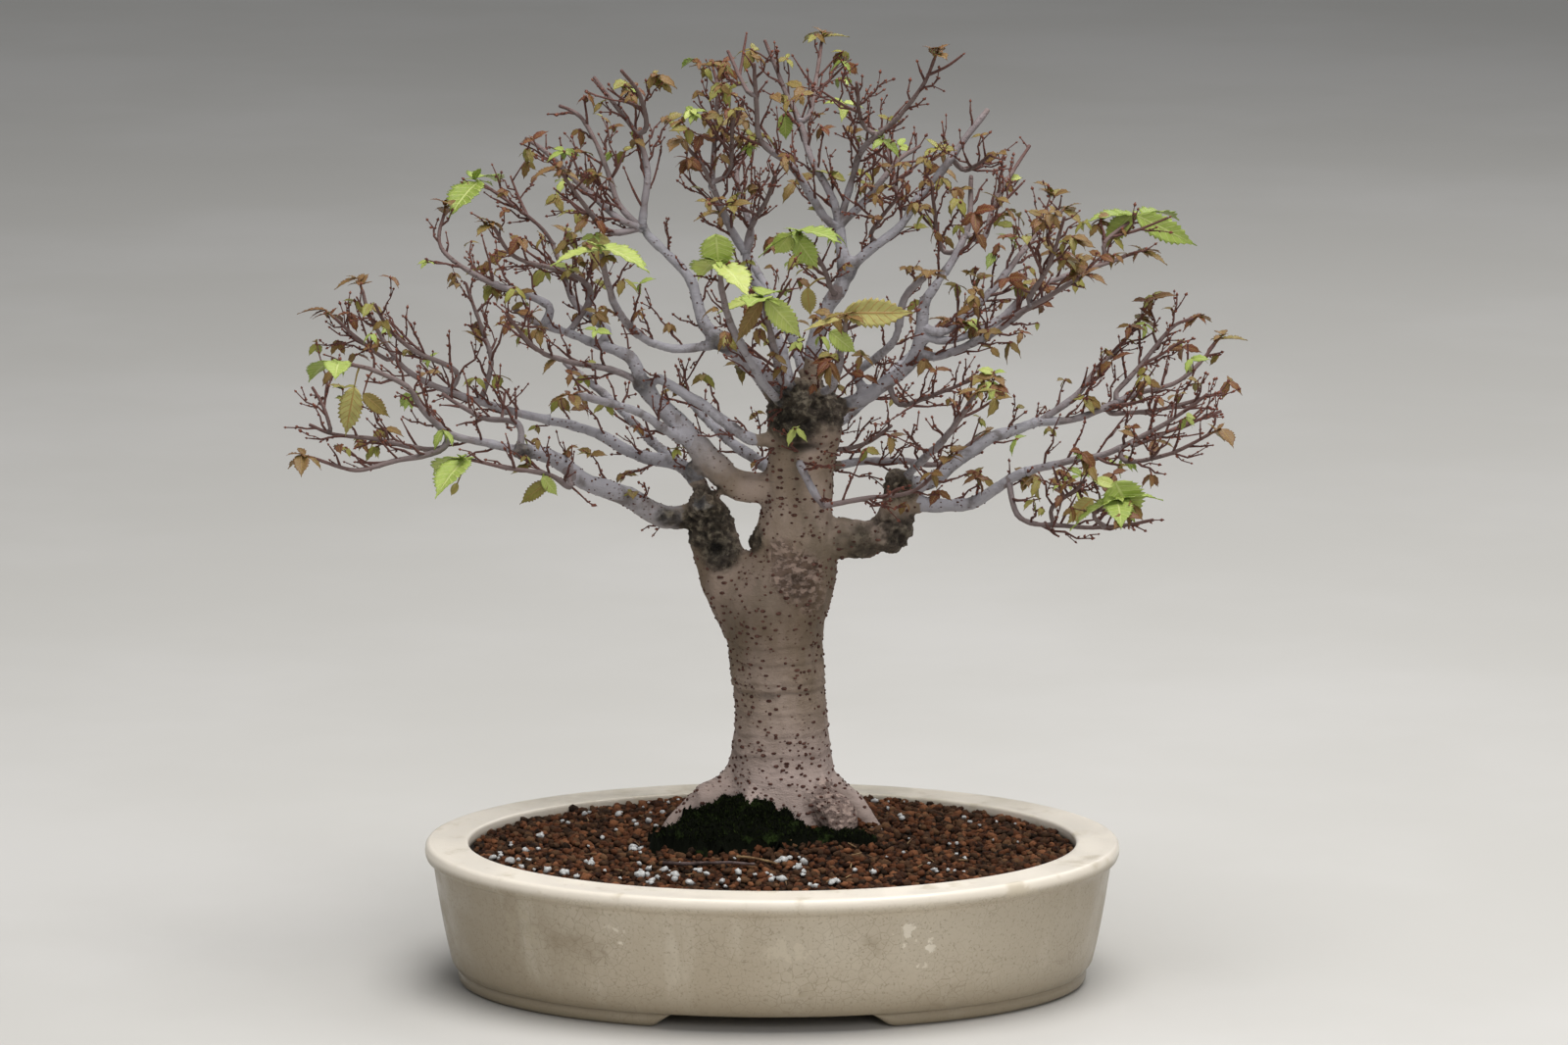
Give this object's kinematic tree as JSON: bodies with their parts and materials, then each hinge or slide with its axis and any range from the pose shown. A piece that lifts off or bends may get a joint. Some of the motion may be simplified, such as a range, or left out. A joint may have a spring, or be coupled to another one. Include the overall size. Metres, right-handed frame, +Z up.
{
  "type": "japanese zelkova bonsai",
  "caption": "Zelkova bonsai with a stout trunk and a broad fan of fine twigs in spring leaf, in a cream glazed oval pot with granular soil.",
  "frame": {"origin": "middle of the pot on the surface that it stands on", "axes": "+Z up, +X to the right of the front view along the pot's length, +Y to the back"},
  "size_m": [0.5521, 0.3272, 0.5459],
  "materials": {
    "glaze": "gloss",
    "soil": "rough",
    "moss": "matte",
    "dry_stem": "matte",
    "bark": "matte",
    "screen": "matte",
    "bronze_leaf": "satin",
    "green_leaf": "satin"
  },
  "bodies": {
    "root": {"drain_screen_left": "screen", "drain_screen_right": "screen", "moss": "moss", "pot": "glaze", "shoot_back_high": "bronze_leaf", "shoot_back_left": "bronze_leaf", "shoot_back_low": "bronze_leaf", "shoot_back_right": "bronze_leaf", "shoot_front_centre": "green_leaf", "shoot_front_left": "green_leaf", "shoot_front_low_right": "bronze_leaf", "shoot_front_red": "bronze_leaf", "shoot_front_right": "bronze_leaf", "shoot_inner_left": "bronze_leaf", "shoot_leader_centre_right": "bronze_leaf", "shoot_leader_front": "green_leaf", "shoot_leader_right_tall": "bronze_leaf", "shoot_left_pair_twig": "green_leaf", "shoot_level_left_end": "bronze_leaf", "shoot_level_left_tip": "bronze_leaf", "shoot_low_left_end": "green_leaf", "shoot_low_left_floor": "bronze_leaf", "shoot_low_left_under": "green_leaf", "shoot_low_right_leafy": "green_leaf", "shoot_low_right_tip": "bronze_leaf", "shoot_middle_left_cross": "bronze_leaf", "shoot_middle_left_tip": "bronze_leaf", "shoot_middle_right_end": "bronze_leaf", "shoot_middle_right_high": "bronze_leaf", "shoot_middle_right_riser": "bronze_leaf", "shoot_second_stem_back": "bronze_leaf", "shoot_second_stem_left": "bronze_leaf", "shoot_second_stem_tall": "bronze_leaf", "shoot_trunk_right": "bronze_leaf", "shoot_upper_left_level": "green_leaf", "shoot_upper_left_low": "bronze_leaf", "shoot_upper_right_brown": "bronze_leaf", "shoot_upper_right_front": "bronze_leaf", "shoot_upper_right_grey": "bronze_leaf", "shoot_upper_right_leafy": "green_leaf", "shoot_upper_right_low": "bronze_leaf", "shoot_upper_right_stub": "bronze_leaf", "soil": "soil", "stalk": "dry_stem", "tree": "bark"}
  },
  "joints": []
}
